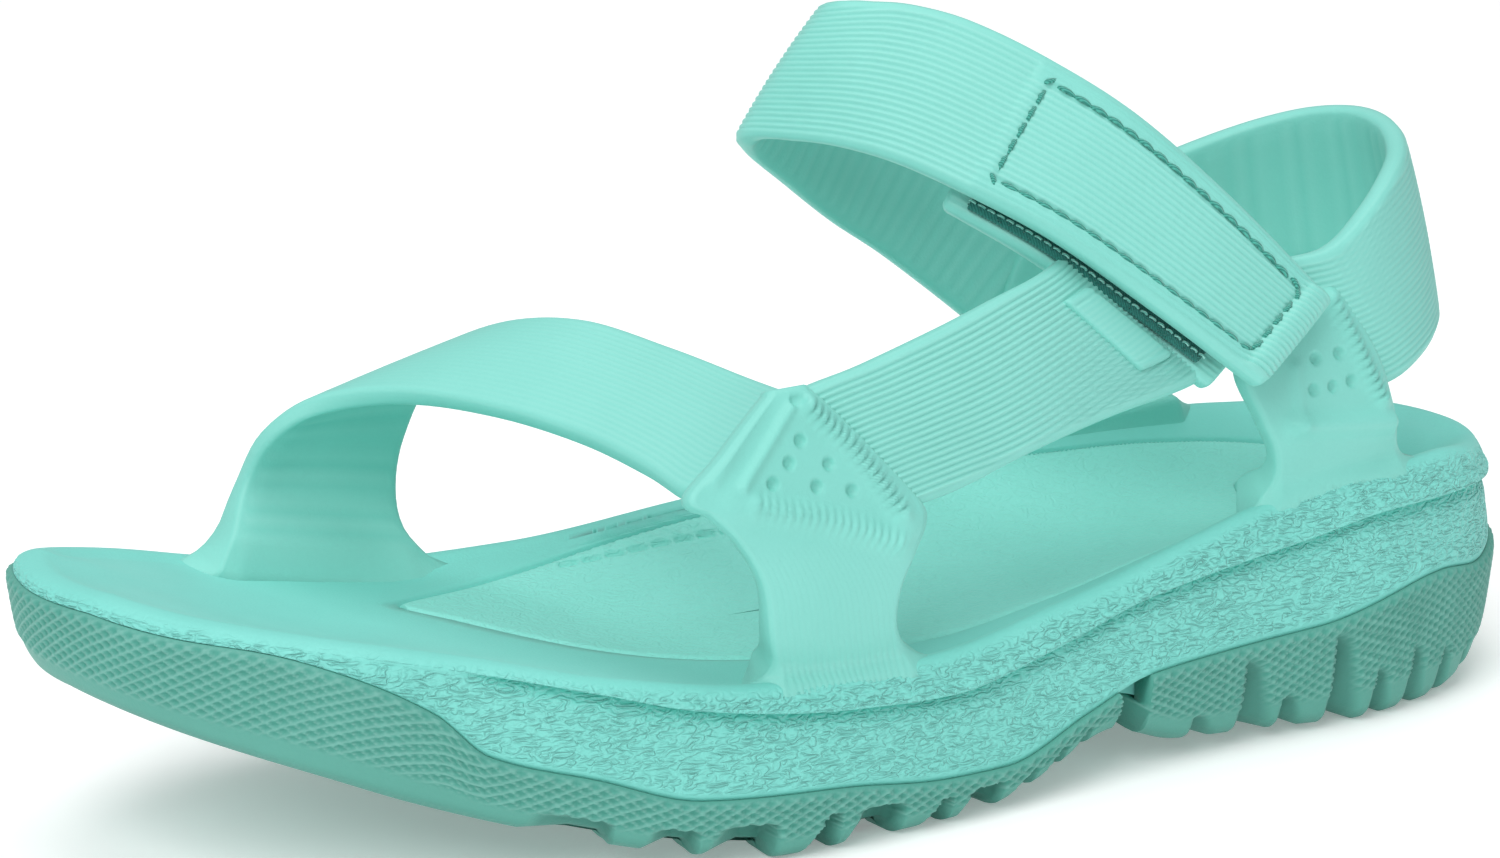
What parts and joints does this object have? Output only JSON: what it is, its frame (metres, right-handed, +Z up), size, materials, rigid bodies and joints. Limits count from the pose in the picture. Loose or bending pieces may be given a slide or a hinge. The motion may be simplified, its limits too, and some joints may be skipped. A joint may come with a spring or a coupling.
{
  "type": "strappy sport sandal",
  "caption": "Open-toe strappy sport sandal for the left foot: moulded foam sole with a lugged outsole, wide ribbed straps and a hook-and-loop ankle flap.",
  "frame": {"origin": "middle of the footprint, at the ground", "axes": "+X from toe to heel, +Y towards the inner (medial) side of the foot, +Z up"},
  "size_m": [0.2752, 0.095, 0.1288],
  "materials": {
    "strap_foam": "matte ribbed moulded foam",
    "midsole_foam": "matte grained moulded foam",
    "footbed_foam": "smooth matte moulded foam",
    "outsole_foam": "matte knurled moulded foam",
    "fastener_tape": "hook and loop tape",
    "thread": "sewing thread"
  },
  "bodies": {
    "sandal": {"forefoot_outsole": "outsole_foam", "heel_outsole": "outsole_foam", "midsole": "midsole_foam", "footbed": "footbed_foam", "toe_strap": "strap_foam", "front_junction": "strap_foam", "mid_strap": "strap_foam", "tab_plate": "strap_foam", "fastening_strap": "strap_foam", "rear_junction_lateral": "strap_foam", "rear_junction_medial": "strap_foam", "heel_strap": "strap_foam", "instep_strap": "strap_foam", "loop_patch": "fastener_tape"},
    "flap": {"closure_flap": "strap_foam", "hook_patch": "fastener_tape", "flap_stitching": "thread"}
  },
  "joints": [
    {"name": "flap_opening", "type": "hinge", "parent": "sandal", "child": "flap", "pos_m": [0.01346, 0.00391, 0.11745], "axis": [-0.5038, 0.0775, -0.8603], "range_deg": [0, 110]}
  ]
}
